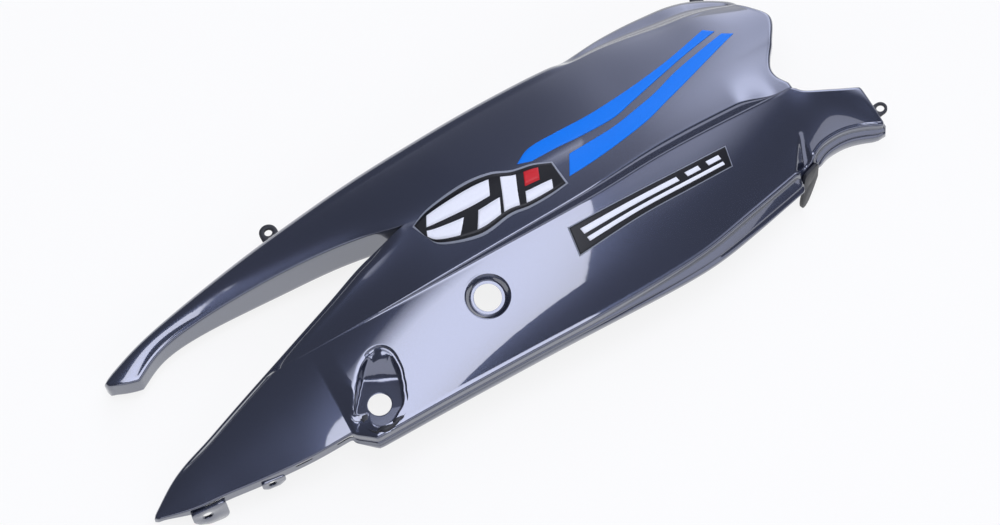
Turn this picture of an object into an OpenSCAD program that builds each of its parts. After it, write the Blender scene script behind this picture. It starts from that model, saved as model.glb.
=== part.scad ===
// Left rear side panel of a scooter: one painted moulded shell and its vinyl stickers.
// X runs to the front end, Y to the lower edge and Z out of the painted face.
// The panel lies loose, painted face up, on its screw tab, its leg and its lower edge.

/* [Panel] */
// Length along the long axis, without the tabs
panel_l = 695; // [600:1:800]
// Width over the upper face, from the seat-side fold to the lower edge
panel_w = 224; // [190:1:260]
// Thickness of the moulded wall
wall = 2.5; // [2:0.1:3]
// Radius of the small outer edges
edge_r = 3; // [2.6:0.1:4]
// Radius of the rolled lower edge
roll_r = 12; // [9:0.5:14]
// Height of the step along the panel at its front end
step_h = 9; // [5:0.5:12]
// Width of the sloping face of the step at its front end
step_w = 5; // [3:0.5:8]
// Crown of the seat-side face over its width
crown_h = 4; // [2:0.5:8]

/* [Flanges] */
// Height of the tail flange that carries the screw tabs
tail_flange_h = 11; // [9:0.5:15]
// Height of the wall along the tail side of the lamp notch
notch_wall_h = 9; // [6:0.5:14]
// Height of the finger's wall at its tip
finger_wall_h = 17; // [12:0.5:22]
// Height of the wall round the front end
front_wall_h = 7.5; // [5:0.5:12]
// Depth of the first drop of the stepped flange
shelf_drop = 8; // [5:0.5:10]
// Width of the shelf of the stepped flange at its tail end
shelf_w = 1.6; // [1.4:0.2:4]
// How much wider the shelf is at the front end
shelf_grow = 7.5; // [2:0.5:10]
// Level of the lower edge below the seat-side lip
lower_edge_drop = 6; // [2:0.5:10]

/* [Lock recess] */
// Diameter of the lock hole
lock_d = 23; // [18:0.5:28]
// Diameter of the recess at the painted face
lock_rim_d = 38; // [34:0.5:44]
// Depth of the recess
lock_depth = 6; // [4:0.5:9]
// Width of the key nick in the lock hole
nick_w = 4; // [2:0.5:6]

/* [Screw pocket] */
// Diameter of the screw hole
screw_d = 19.5; // [12:0.5:22]
// Inner width of the pocket's arch
pocket_w = 39; // [34:0.5:41]
// Length from the screw to the top of the arch
pocket_l = 43; // [36:0.5:45]
// Level of the pocket floor above the seat-side lip
pocket_floor = 17; // [15:0.5:18]
// Diameter of the half-round tongue in front of the pocket
tongue_d = 27; // [24:0.5:28]
// Slope of the pocket's back, as rise over run
back_slope = 1.07; // [0.9:0.01:1.3]

/* [Tabs] */
// Thickness of the tabs
tab_t = 3; // [2:0.1:4]
// Diameter of the hole in the large tail tab
tab_d = 9.5; // [6:0.5:11]
// Diameter of the holes in the small tabs
small_tab_d = 7; // [4:0.5:8]
// Length of the leg below the seat-side lip
leg_drop = 40; // [30:1:45]

/* [Stickers] */
// Thickness of the vinyl
vinyl_t = 0.3; // [0.2:0.05:0.6]

/* [Hidden] */
sx = panel_l/695;
sy = panel_w/224;
rest_tilt = -10;
cell = 15;
rows_seat = 8;
rows_mid = 5;
rows_far = 6;
hem_rows = 6;

// Design curves of the fold lines, each point [x, y, z]
function fit(points) = [for (p = points) [p.x*sx, p.y*sy, p.z]];
tail_fold = fit([[-354, -46, -12], [-324, -55, -8], [-295, -59, -4], [-260, -65, 1], [-218, -70, 7],
    [-180, -71, 12]]);
seat_fold = fit([[-164, -87.5, 16], [-96, -86, 17], [-17, -85, 18], [57, -84, 18], [151, -78, 18],
    [204, -66.5, 18], [262, -52, 16]]);
arch_fold = fit([[281, -45, 18], [293, -40, 21], [313, -39, 22], [331, -44, 21], [344, -51, 20]]);
notch_edge = fit([[-354, -46, -12], [-322, -25, -4], [-282, -11, 5], [-246, 1, 13], [-211, 12, 21],
    [-176, 23, 29], [-141, 34, 37], [-104, 46, 46], [-58, 56, 55]]);
step_foot = fit([[-225, 7.6, 17.8], [-170, 3, 30], [-90, -2, 43], [0, -4, 51], [92, -3, 54], [156, 2, 54],
    [214, 4, 52], [289, 5, 48]]);
front_corner = fit([[289, 5, 48], [297, -3, 48], [320, -12, 42], [344, -20, 36]]);
ridge = fit([[-314, 67, 10], [-296, 77.5, 14], [-269, 83.5, 19], [-219, 85.5, 27], [-156, 82, 37],
    [-97, 72, 47], [-58, 56, 55], [0, 46, 61], [80, 42, 65], [160, 43, 66], [230, 46, 63], [298, 50, 57]]);
lower_fold = fit([[-337, 75, 11], [-304, 86, 17.5], [-270, 93, 23], [-206, 102, 32], [-143, 109.5, 39],
    [-81, 116.5, 44], [-20, 120.5, 48], [41, 122.5, 52], [100, 121.5, 56], [130, 120, 57], [160, 121, 56],
    [186, 118, 56], [225, 111, 56], [260, 108, 55], [294, 100, 51]]);
// Front end of the upper face, each point [share, x], with the share 1 at the ridge and 2 at the lower fold
front_end = [[0, 289], [0.25, 283], [0.5, 282], [0.75, 287], [1, 295], [1.45, 307], [1.8, 299], [2, 292]];
// Outer lip of the front part of the lower edge, each point [x, width, drop] from the fold
front_lip = [[130, 12, 12], [150, 13, 12], [179, 22, 18], [210, 30, 22], [240, 33, 24], [266, 29, 25],
    [292, 17, 19]];

tail_x = -354*sx;
root_x = -225*sx;
jump_x0 = -180*sx;
jump_x1 = -164*sx;
apex_x = -58*sx;
leg_x0 = 262*sx;
leg_x1 = 281*sx;
corner_x = 289*sx;
front_x = 343*sx;
front_lean = 3.5*sx;
finger_near_x = -314*sx;
finger_far_x = -337*sx;

// Smooth curve through the knots k at x
function seg(k, x, i = 0) = i >= len(k) - 2 || x < k[i + 1][0] ? i : seg(k, x, i + 1);
function slope(k, i) =
    let (a = max(0, i - 1), b = min(len(k) - 1, i + 1)) (k[b] - k[a])/(k[b][0] - k[a][0]);
function at(k, x) =
    x <= k[0][0] ? k[0] + slope(k, 0)*(x - k[0][0]) :
    x >= k[len(k) - 1][0] ? k[len(k) - 1] + slope(k, len(k) - 1)*(x - k[len(k) - 1][0]) :
    let (i = seg(k, x), h = k[i + 1][0] - k[i][0], t = (x - k[i][0])/h)
    k[i]*(2*t^3 - 3*t^2 + 1) + slope(k, i)*h*(t^3 - 2*t^2 + t) + k[i + 1]*(3*t^2 - 2*t^3)
        + slope(k, i + 1)*h*(t^3 - t^2);
function mix(a, b, t) = a + (b - a)*t;
function clamp(v, lo, hi) = min(hi, max(lo, v));
function ease(t) = let (c = clamp(t, 0, 1)) c*c*(3 - 2*c);

// The three faces meet along these lines
function seat_line(x) =
    x <= jump_x0 ? at(tail_fold, x) :
    x < jump_x1 ? mix(tail_fold[len(tail_fold) - 1], seat_fold[0], (x - jump_x0)/(jump_x1 - jump_x0)) :
    x <= leg_x0 ? at(seat_fold, x) :
    x < leg_x1 ? mix(seat_fold[len(seat_fold) - 1], arch_fold[0], (x - leg_x0)/(leg_x1 - leg_x0)) :
    at(arch_fold, x);
function top_line(x) = x < root_x ? at(notch_edge, x) : x <= corner_x ? at(step_foot, x) : at(front_corner, x);
function step_share(x) = ease((x - root_x)/(corner_x - root_x)*1.15);
function step_line(x) = at(step_foot, x) + [0, step_w, step_h]*step_share(x);
function mid_line(x) = x < apex_x ? at(notch_edge, x) : at(ridge, x);

// The gouge that runs from the seat-side face down to the leg
gouge_top = [280*sx, -28*sy];
gouge_foot = [271*sx, -52*sy];
function gouge(x, y) =
    let (run = gouge_foot - gouge_top, off = [x, y] - gouge_top, t = clamp(off*run/(run*run), 0, 1.2),
        gap = norm(off - run*t), half = 2 + 7*t)
    gap < half ? 9*t*(1 - (gap/half)^2)^1.5 : 0;

function seat_z(x, y) =
    let (a = seat_line(x), b = top_line(x), w = b.y - a.y, t = w < 0.01 ? 0 : (y - a.y)/w)
    mix(a.z, b.z, t) + 4*t*(1 - t)*crown_h*w/(85*sy) - gouge(x, y);
function far_crown(x) = 3 + 3*ease((x - apex_x)/(150*sx) + 0.6);
function far_slope(x) =
    let (a = at(ridge, x), b = at(lower_fold, x)) (b.z - a.z + 4*far_crown(x))/(b.y - a.y);
function mid_z(x, y) =
    let (a = step_line(x), b = mid_line(x), w = b.y - a.y, t = w == 0 ? 0 : (y - a.y)/w,
        crown = (b.z - a.z - w*far_slope(x))/4)
    mix(a.z, b.z, t) + 4*t*(1 - t)*crown;
function far_z(x, y) =
    let (a = at(ridge, x), b = at(lower_fold, x), t = (y - a.y)/(b.y - a.y))
    mix(a.z, b.z, t) + 4*t*(1 - t)*far_crown(x);
function face_z(x, y) =
    y < top_line(x).y ? seat_z(x, y) :
    x > apex_x && y > at(ridge, x).y ? far_z(x, y) :
    y < step_line(x).y ? mix(top_line(x).z, step_line(x).z, (y - top_line(x).y)/(step_line(x).y - top_line(x).y)) :
    mid_z(x, y);

// Outward normal of a face function, kind 0 seat side, 1 middle, 2 far
function face_at(kind, x, y) = kind == 0 ? seat_z(x, y) : kind == 1 ? mid_z(x, y) : far_z(x, y);
function unit(v) = v/norm(v);
function normal(kind, x, y) =
    unit([face_at(kind, x - 1, y) - face_at(kind, x + 1, y), face_at(kind, x, y - 1) - face_at(kind, x, y + 1), 2]);

// Columns of the surface grid
function spread(a, b) = let (n = max(1, round(abs(b - a)/cell))) [for (i = [0:n - 1]) a + (b - a)*i/n];
cols_tail = concat([tail_x, tail_x + 5, tail_x + 13], spread(tail_x + 25, root_x));
cols_notch = concat([root_x, root_x + 8], spread(root_x + 18, jump_x0), [jump_x0, jump_x1], spread(jump_x1 + 12, apex_x - 12),
    [apex_x - 12]);
cols_mid = concat([apex_x], spread(apex_x + 12, leg_x0 - 1.5), [leg_x0 - 1.5, leg_x0 + 1, leg_x0 + 10, leg_x1 - 1.5,
    leg_x1 + 1.5]);
cols_front = concat([corner_x], spread(corner_x + 7, front_x), [front_x]);
cols = concat(cols_tail, cols_notch, cols_mid, cols_front);
root_i = len(cols_tail);
apex_i = root_i + len(cols_notch);
corner_i = apex_i + len(cols_mid);
front_i = len(cols) - 1;
finger_n = round((apex_x - finger_near_x)/cell) + 2;

function row_share(t) = t - 0.06*sin(360*t);
function ahead(i) = (cols[i] - apex_x)/(corner_x - apex_x);
function front_at(share) = at(front_end, share)[1]*sx;
function seat_point(i, j) =
    let (x = cols[i] + front_lean*(1 - j/rows_seat)*max(0, ahead(i) - 1)/(ahead(front_i) - 1), a = seat_line(x),
        b = top_line(x), y = mix(a.y, b.y, row_share(j/rows_seat)))
    j == rows_seat ? b : j == 0 ? a : [x, y, seat_z(x, y)];
function mid_point(i, j) =
    let (t = j/rows_mid, x = i <= apex_i ? cols[i] : mix(apex_x, front_at(t), ahead(i)),
        a = step_line(x), b = mid_line(x))
    j == 0 ? a : j == rows_mid ? b : [x, mix(a.y, b.y, t), mid_z(x, mix(a.y, b.y, t))];
function far_point(c, j) =
    let (t = j/rows_far, i = apex_i + c - finger_n,
        x = c < finger_n ? mix(mix(finger_near_x, finger_far_x, t), apex_x, row_share(c/finger_n)) :
            mix(apex_x, front_at(1 + t), ahead(i)),
        y = mix(at(ridge, x).y, at(lower_fold, x).y, t))
    [x, y, far_z(x, y)];

// Numbering of the grid points: seat-side face, then middle, then far face
far_cols = finger_n + corner_i - apex_i;
mid_start = front_i*(rows_seat + 1) + 1;
far_start = mid_start + (corner_i - root_i)*(rows_mid + 1);
far_rest = far_start + finger_n*(rows_far + 1);
face_n = far_rest + (far_cols - finger_n + 1)*rows_far;
function seat_id(i, j) = i == 0 ? 0 : (i - 1)*(rows_seat + 1) + j + 1;
function mid_id(i, j) = i == root_i ? seat_id(i, rows_seat) : mid_start + (i - root_i - 1)*(rows_mid + 1) + j;
function far_id(c, j) =
    c < finger_n ? far_start + c*(rows_far + 1) + j :
    j == 0 ? mid_id(apex_i + c - finger_n, rows_mid) : far_rest + (c - finger_n)*rows_far + j - 1;

face_points = concat(
    [seat_point(0, 0)],
    [for (i = [1:front_i]) for (j = [0:rows_seat]) seat_point(i, j)],
    [for (i = [root_i + 1:corner_i]) for (j = [0:rows_mid]) mid_point(i, j)],
    [for (c = [0:finger_n - 1]) for (j = [0:rows_far]) far_point(c, j)],
    [for (c = [finger_n:far_cols]) for (j = [1:rows_far]) far_point(c, j)]);
// Both ends of the sloping step face lean the same way inside, so the wall keeps its thickness there
function under(kind, p) = p - wall*normal(kind, p.x, p.y);
function under_step(i, p) = p + [0, 1.4*step_share(cols[i]), -wall];
back_points = concat(
    [seat_point(0, 0) - [0, 0, wall]],
    [for (i = [1:front_i]) for (j = [0:rows_seat])
        j == rows_seat && i > root_i && i <= corner_i ? under_step(i, seat_point(i, j)) : under(0, seat_point(i, j))],
    [for (i = [root_i + 1:corner_i]) for (j = [0:rows_mid])
        j == 0 ? under_step(i, mid_point(i, j)) : under(1, mid_point(i, j))],
    [for (c = [0:finger_n - 1]) for (j = [0:rows_far]) under(2, far_point(c, j))],
    [for (c = [finger_n:far_cols]) for (j = [1:rows_far]) under(2, far_point(c, j))]);

// The hem runs once round the edge, as [grid point, kind of flange]
hem = concat(
    [for (i = [0:front_i]) [seat_id(i, 0), cols[i] < jump_x0 ? "tail" : cols[i] < leg_x0 ? "seat" :
        cols[i] < leg_x1 ? "leg" : "arch"]],
    [for (j = [1:rows_seat]) [seat_id(front_i, j), "front"]],
    [for (i = [front_i - 1:-1:corner_i]) [seat_id(i, rows_seat), "front"]],
    [for (j = [0:rows_mid]) [mid_id(corner_i, j), "front"]],
    [for (j = [1:rows_far - 1]) [far_id(far_cols, j), "front"]],
    [for (c = [far_cols:-1:0]) [far_id(c, rows_far), "lower"]],
    [for (j = [rows_far - 1:-1:1]) [far_id(0, j), "tip"]],
    [for (c = [0:finger_n - 1]) [far_id(c, 0), "finger"]],
    [[far_id(finger_n, 0), "notch"]],
    [for (i = [apex_i - 1:-1:root_i + 1]) [mid_id(i, rows_mid), "notch"]],
    [for (i = [root_i:-1:1]) [seat_id(i, rows_seat), "notch"]]);
hem_n = len(hem);
function hem_point(k) = face_points[hem[(k + hem_n)%hem_n][0]];
function hem_out(k) =
    let (d = hem_point(k + 1) - hem_point(k - 1)) unit([d.y, -d.x]);

// Each flange is a profile of points [outward, downward] from the fold
function round_edge(r, h) =
    [[0.38*r, 0.08*r], [0.71*r, 0.29*r], [0.92*r, 0.62*r], [r, r], [r + 0.02*h, mix(r, h, 0.5)], [r + 0.04*h, h]];
function stepped(z, w) =
    [[0.4*edge_r, 0.1*edge_r], [0.8*edge_r, 0.6*edge_r], [edge_r, shelf_drop], [edge_r + w, shelf_drop + 1.4],
        [edge_r + w + 0.6, z - 2.5], [edge_r + w + 1, z]];
function rolled(r, h) =
    [for (a = [18, 36, 54, 72, 90]) [r*sin(a), r*(1 - cos(a))], [r, h]];
function lipped(w, h) =
    [[0.12*w, 0.05*h], [0.3*w, 0.25*h], [0.62*w, 0.62*h], [0.78*w, 0.68*h], [w, 0.9*h], [w + 1, h + 6]];
function lower_flange(p) =
    let (x = p.x/sx, r = roll_r*(0.5 + 0.5*ease((x + 337)/200)), lip = at(front_lip, x),
        low = mix(-8, -lower_edge_drop, ease((x + 337)/200)), t = ease((x - 122)/26))
    mix(rolled(r, p.z - low), lipped(lip[1], lip[2]), t);
function flange(k) =
    let (p = hem_point(k), kind = hem[(k + hem_n)%hem_n][1], tip = norm([p.x - apex_x, p.y - ridge[6].y]),
        r = min(edge_r, 1 + 0.05*tip))
    kind == "seat" ? stepped(p.z, shelf_w + shelf_grow*ease((p.x/sx - 10)/200)) :
    kind == "leg" ? round_edge(edge_r + 1.5, p.z) :
    kind == "arch" ? stepped(p.z - 1, shelf_w + 3) :
    kind == "tail" ? round_edge(edge_r - 0.5, mix(5, tail_flange_h, ease((p.x - tail_x)/(45*sx)))) +
        [for (i = [0:hem_rows - 1]) [0.3*i, 0]] :
    kind == "front" ? round_edge(edge_r, front_wall_h) :
    kind == "tip" ? round_edge(edge_r - 0.5, finger_wall_h) :
    kind == "finger" ? round_edge(r, mix(finger_wall_h, 2*finger_wall_h, ease((p.x - finger_near_x)/(160*sx)))) :
    kind == "notch" ? round_edge(r, mix(2*finger_wall_h, notch_wall_h, ease(tip/40))) :
    lower_flange(p);

// Inner side of a profile, one wall inside the outer one
function turn(v) = [-v.y, v.x];
function inner(prof) =
    [for (i = [0:hem_rows - 1])
        let (before = i == 0 ? [0, 0] : prof[i - 1], after = i == hem_rows - 1 ? 2*prof[i] - before : prof[i + 1],
            n1 = turn(unit(prof[i] - before)), n2 = turn(unit(after - prof[i])), n = unit(n1 + n2))
        prof[i] + n*wall/max(0.75, n*n1)];
function placed(k, q) = let (p = hem_point(k), d = hem_out(k)) [p.x + d.x*q.x, p.y + d.y*q.x, p.z - q.y];
hem_points = [for (k = [0:hem_n - 1]) for (q = flange(k)) placed(k, q)];
hem_back = [for (k = [0:hem_n - 1]) for (q = inner(flange(k))) placed(k, q)];
side_n = face_n + len(hem_points);
function hem_id(k, row) = let (m = k%hem_n) row == 0 ? hem[m][0] : face_n + m*hem_rows + row - 1;

// Two triangles for each cell, without those that close to a line
function quad(a, b, c, d) =
    [for (f = [[a, b, c], [a, c, d]]) if (f[0] != f[1] && f[1] != f[2] && f[2] != f[0]) f];
function flip(faces, shift) = [for (f = faces) [f[2] + shift, f[1] + shift, f[0] + shift]];
outer_faces = concat(
    [for (i = [0:front_i - 1]) for (j = [0:rows_seat - 1])
        each quad(seat_id(i, j), seat_id(i, j + 1), seat_id(i + 1, j + 1), seat_id(i + 1, j))],
    [for (i = [root_i:corner_i - 1])
        each quad(seat_id(i, rows_seat), mid_id(i, 0), mid_id(i + 1, 0), seat_id(i + 1, rows_seat))],
    [for (i = [root_i:corner_i - 1]) for (j = [0:rows_mid - 1])
        each quad(mid_id(i, j), mid_id(i, j + 1), mid_id(i + 1, j + 1), mid_id(i + 1, j))],
    [for (c = [0:far_cols - 1]) for (j = [0:rows_far - 1])
        each quad(far_id(c, j), far_id(c, j + 1), far_id(c + 1, j + 1), far_id(c + 1, j))],
    [for (k = [0:hem_n - 1]) for (r = [0:hem_rows - 1])
        each quad(hem_id(k, r), hem_id(k + 1, r), hem_id(k + 1, r + 1), hem_id(k, r + 1))]);
rim_faces = [for (k = [0:hem_n - 1])
    let (a = hem_id(k, hem_rows), b = hem_id(k + 1, hem_rows)) each quad(a, b, b + side_n, a + side_n)];

module shell() {
    polyhedron(points = concat(face_points, hem_points, back_points, hem_back),
        faces = concat(outer_faces, flip(outer_faces, side_n), rim_faces), convexity = 8);
}

// Everything above the painted face round a recess, so that the recess wall ends flush with it
module above_face(x, y, reach) {
    n = 8;
    top = 90;
    lift = -0.6;
    grid = [for (i = [0:n]) for (j = [0:n])
        let (px = x + reach*(2*i/n - 1), py = y + reach*(2*j/n - 1)) [px, py, face_z(px, py) + lift]];
    lid = [for (p = grid) [p.x, p.y, top]];
    m = len(grid);
    function id(i, j) = i*(n + 1) + j;
    ring = concat([for (i = [0:n - 1]) id(i, 0)], [for (j = [0:n - 1]) id(n, j)],
        [for (i = [n:-1:1]) id(i, n)], [for (j = [n:-1:1]) id(0, j)]);
    floor_faces = [for (i = [0:n - 1]) for (j = [0:n - 1])
        each quad(id(i, j), id(i + 1, j), id(i + 1, j + 1), id(i, j + 1))];
    sides = [for (k = [0:len(ring) - 1])
        let (a = ring[k], b = ring[(k + 1)%len(ring)]) each quad(a, a + m, b + m, b)];
    polyhedron(points = concat(grid, lid), faces = concat(floor_faces, flip(floor_faces, m), sides));
}

// Lock recess: a cone down to a flat ring round the lock hole
lock_at = [-28*sx, -34*sy];
lock_axis = normal(0, lock_at.x, lock_at.y);
lock_centre = [lock_at.x, lock_at.y, seat_z(lock_at.x, lock_at.y)] - lock_axis*(lock_depth + wall/2);
module at_lock() {
    translate(lock_centre + lock_axis*(lock_depth + wall/2))
        rotate([0, acos(lock_axis.z), atan2(lock_axis.y, lock_axis.x)]) children();
}
module lock_cup() {
    ring_r = lock_d/2 + 3;
    difference() {
        at_lock() rotate_extrude($fn = 48)
            polygon([[0, -lock_depth - wall], [ring_r + wall, -lock_depth - wall], [lock_rim_d/2 + wall, -1],
                [lock_rim_d/2 + wall, 8], [0, 8]]);
        above_face(lock_at.x, lock_at.y, lock_rim_d);
    }
}
module lock_void() {
    ring_r = lock_d/2 + 3;
    at_lock() {
        rotate_extrude($fn = 48)
            polygon([[0, -lock_depth], [ring_r, -lock_depth], [lock_rim_d/2, 0], [lock_rim_d/2, 12], [0, 12]]);
        translate([0, 0, -lock_depth - 2*wall]) cylinder(d = lock_d, h = lock_depth + 2*wall, $fn = 64);
        rotate(160) translate([0, -nick_w/2, -lock_depth - 2*wall])
            cube([lock_d/2 + nick_w/2, nick_w, lock_depth + 2*wall]);
    }
}

// Screw pocket: an arched niche with a flat floor, a sloping back and a half-round tongue in front
pocket_at = [-149.8*sx, -64.4*sy];
pocket_turn = 60;
back_u = pocket_l - 19;
corner_l = [-10, pocket_w/2];
corner_r = [-2, -pocket_w/2];
tongue_at = [-5, -2.5];
function arch_half(u) = pocket_w/2*(1 - (u/pocket_l)^2.6)^0.6;
module pocket_plan() {
    u = [for (i = [0:7]) pocket_l*sin(90*i/7)];
    polygon(concat([for (i = [0:7]) [u[i], arch_half(u[i])]], [for (i = [6:-1:0]) [u[i], -arch_half(u[i])]],
        [corner_r, corner_l]));
    translate(tongue_at) circle(d = tongue_d, $fn = 28);
}
module under_back(lower) {
    rotate([90, 0, 0]) linear_extrude(2*pocket_w, center = true)
        polygon([[back_u, -lower], [2*pocket_l, back_slope*(2*pocket_l - back_u) - lower], [2*pocket_l, -20], [back_u, -20]]);
}
module at_pocket() {
    translate([pocket_at.x, pocket_at.y, pocket_floor]) rotate(pocket_turn) children();
}
module pocket_box() {
    difference() {
        at_pocket() translate([0, 0, -tab_t]) linear_extrude(60) offset(delta = wall) pocket_plan();
        above_face(pocket_at.x + 8, pocket_at.y + 11, 0.95*pocket_w);
        at_pocket() under_back(wall*norm([1, back_slope]));
    }
}
module pocket_void() {
    at_pocket() {
        difference() {
            linear_extrude(60) pocket_plan();
            under_back(0);
        }
        translate([0, 0, -2*tab_t]) cylinder(d = screw_d, h = 3*tab_t, $fn = 64);
    }
}

// Screw tabs
tail_tab_at = [-316*sx, -60.5*sy, -23];
tail_tab_low = -39.5;
mid_tab_at = [-257*sx, -68*sy, -11];
module tail_tabs() {
    translate([tail_tab_at.x, tail_tab_at.y, 0]) rotate([90, 0, -6]) linear_extrude(tab_t, center = true)
        polygon([[-13, -13], [-13, -27], [-9, -34], [0, tail_tab_low], [15, tail_tab_low], [18, -34], [18, -10]]);
    translate([mid_tab_at.x, mid_tab_at.y, 0]) rotate([90, 0, -6]) linear_extrude(tab_t, center = true)
        polygon([[-9, -6], [-9, -15], [-5, -19], [6, -19], [12, -14], [12, -5]]);
}
module tail_tab_holes() {
    translate(tail_tab_at) rotate([90, 0, -6]) cylinder(d = tab_d, h = 4*tab_t, center = true, $fn = 48);
    translate(mid_tab_at) rotate([90, 0, -6]) cylinder(d = small_tab_d, h = 4*tab_t, center = true, $fn = 48);
}
// Slots in the tail flange, as the moulding tool leaves them at the roots of the tabs
slot_w = 1.6;
module tail_slots() {
    for (x = [[-307, 20, -10], [-229, 16, -7], [-189.5, 17, -7]])
        let (p = at(tail_fold, x.x*sx))
        translate([p.x, p.y, p.z - 0.4*tail_flange_h]) rotate([0, x.z, 0]) cube([x.y, 8*wall, slot_w], center = true);
}
module flat_tab(p, turn_by, tilt, l, w, d = 0) {
    translate(p) rotate([tilt, 0, turn_by]) difference() {
        translate([0, 0, -tab_t/2]) linear_extrude(tab_t) union() {
            translate([-w/2, 0]) square([w, l - w/2]);
            translate([0, l - w/2]) circle(d = w, $fn = 32);
        }
        if (d > 0) translate([0, l - w/2, 0]) cylinder(d = d, h = 3*tab_t, center = true, $fn = 48);
    }
}
module leg() {
    translate([leg_x0, -59*sy, 0]) rotate([90, 0, 20]) linear_extrude(tab_t, center = true)
        polygon([[4, 12], [1, -18], [-2, -leg_drop + 3], [0, -leg_drop], [5, -leg_drop + 1], [15, -22], [21, -9], [22, 12]]);
}

module side_panel() {
    color("#434856") resting() difference() {
        union() {
            shell();
            lock_cup();
            pocket_box();
            tail_tabs();
            leg();
            flat_tab([-157*sx, 117*sy, 20], 0, 0, 20, 16, small_tab_d);
            flat_tab([271*sx, 130*sy, 26], -20, -10, 17, 12);
            flat_tab([342.3*sx, -39.6*sy, 19.1], -82, 3, 17.6, 12, small_tab_d);
        }
        lock_void();
        pocket_void();
        tail_tab_holes();
        tail_slots();
    }
}

// Stickers follow the painted face, a hair above it
module film(low, high, n, m) {
    grid = [for (z = [0.1, 0.1 + vinyl_t]) for (i = [0:n]) for (j = [0:m])
        let (p = mix(at(low, i/n), at(high, i/n), j/m)) [p[1], p[2], face_z(p[1], p[2]) + z]];
    layer = (n + 1)*(m + 1);
    function id(i, j) = i*(m + 1) + j;
    base = [for (i = [0:n - 1]) for (j = [0:m - 1]) each quad(id(i, j), id(i, j + 1), id(i + 1, j + 1), id(i + 1, j))];
    ring = concat([for (i = [0:n - 1]) id(i, 0)], [for (j = [0:m - 1]) id(n, j)],
        [for (i = [n:-1:1]) id(i, m)], [for (j = [m:-1:1]) id(0, j)]);
    sides = [for (k = [0:len(ring) - 1])
        let (a = ring[k], b = ring[(k + 1)%len(ring)]) each quad(a, a + layer, b + layer, b)];
    polyhedron(points = grid, faces = concat(flip(base, 0), [for (f = base) f + [layer, layer, layer]], sides));
}
function track(points) = [for (i = [0:len(points) - 1]) [i/(len(points) - 1), points[i][0]*sx, points[i][1]*sy]];
stripe_lower_near = [[61, 48], [85, 48], [111, 47], [141, 48], [164, 54], [199, 64], [227, 72], [259, 80]];
stripe_lower_far = [[49, 52], [65, 60], [93, 61], [122, 61], [153, 64], [185, 69], [216, 76], [251, 87]];
stripe_upper_near = [[82, 20], [106, 22], [134, 26], [164, 32], [188, 40], [209, 47], [237, 57], [272, 70]];
stripe_upper_far = [[92, 38], [110, 39], [137, 41], [166, 47], [185, 52], [207, 60], [232, 67], [263, 75]];
badge_near = [[-49, 38], [-40, 23], [-8, 11], [22, 14], [40, 12], [60, 12.5], [78, 15]];
badge_far = [[-54, 50], [-35, 57], [0, 61], [24, 58], [42, 50], [60, 46], [76, 39]];
plate_near = [[56, -41], [119, -35], [170, -33], [211, -31]];
plate_far = [[59, -16], [123, -15.5], [170, -15], [214, -14]];
module stripe_lower() {
    color("#0a78ea") resting() film(track(stripe_lower_near), track(stripe_lower_far), 21, 2);
}
module stripe_upper() {
    color("#0a78ea") resting() film(track(stripe_upper_near), track(stripe_upper_far), 21, 3);
}
module badge_sticker() {
    color("white") resting() film(track(badge_near), track(badge_far), 12, 6);
}
module plate_sticker() {
    color("#15161a") resting() film(track(plate_near), track(plate_far), 16, 3);
}
module resting() {
    rotate([rest_tilt, 0, 0]) translate(-lock_centre) children();
}

side_panel();
stripe_lower();
stripe_upper();
badge_sticker();
plate_sticker();
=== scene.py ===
import math

import bmesh
import bpy
import mathutils
import numpy as np
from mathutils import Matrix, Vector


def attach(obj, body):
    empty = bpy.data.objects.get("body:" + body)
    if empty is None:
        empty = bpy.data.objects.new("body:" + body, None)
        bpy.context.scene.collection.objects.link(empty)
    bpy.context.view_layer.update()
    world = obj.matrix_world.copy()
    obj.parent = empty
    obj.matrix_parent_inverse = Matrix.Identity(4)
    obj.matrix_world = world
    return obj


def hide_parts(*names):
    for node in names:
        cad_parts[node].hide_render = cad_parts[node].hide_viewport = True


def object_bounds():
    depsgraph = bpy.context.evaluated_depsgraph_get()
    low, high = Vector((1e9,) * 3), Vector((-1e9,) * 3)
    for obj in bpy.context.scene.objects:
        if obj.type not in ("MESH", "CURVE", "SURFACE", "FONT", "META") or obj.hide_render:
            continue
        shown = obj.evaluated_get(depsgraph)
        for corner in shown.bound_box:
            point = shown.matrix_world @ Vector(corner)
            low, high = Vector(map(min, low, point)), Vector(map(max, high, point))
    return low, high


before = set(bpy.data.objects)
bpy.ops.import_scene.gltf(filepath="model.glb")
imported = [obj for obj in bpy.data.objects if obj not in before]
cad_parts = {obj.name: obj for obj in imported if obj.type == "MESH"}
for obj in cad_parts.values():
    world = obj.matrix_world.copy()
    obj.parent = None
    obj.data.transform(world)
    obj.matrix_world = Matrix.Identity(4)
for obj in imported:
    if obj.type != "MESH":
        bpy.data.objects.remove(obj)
cad_box = [list(map(float, corner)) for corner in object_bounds()]

# Painted shell
# The whole panel is one ABS injection moulding, 2.5 mm thick, sprayed with a metallic base coat and
# a clear coat. Its flanges, tabs, leg, lock recess and screw pocket are all part of the moulding.
# Lengths are in millimetres along the mould's axes: X to the front end, Y to the lower edge, Z out.
WALL = 2.5
EDGE_R = 3.0
ROLL_R = 12.0
STEP_H = 9.0
STEP_W = 5.0
CROWN = 4.0
TAIL_FLANGE = 11.0
NOTCH_WALL = 9.0
FINGER_WALL = 17.0
FRONT_WALL = 7.5
SHELF_DROP = 8.0
SHELF_W = 1.6
SHELF_GROW = 7.5
LOWER_DROP = 6.0
SLOTS = [(-307, 20), (-229, 16), (-189.5, 17)]

tail_x, root_x, jump_x0, jump_x1 = -354.0, -225.0, -180.0, -164.0
apex_x, leg_x0, leg_x1, corner_x, front_x = -58.0, 262.0, 281.0, 289.0, 343.0
finger_near_x, finger_far_x = -314.0, -337.0
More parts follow.
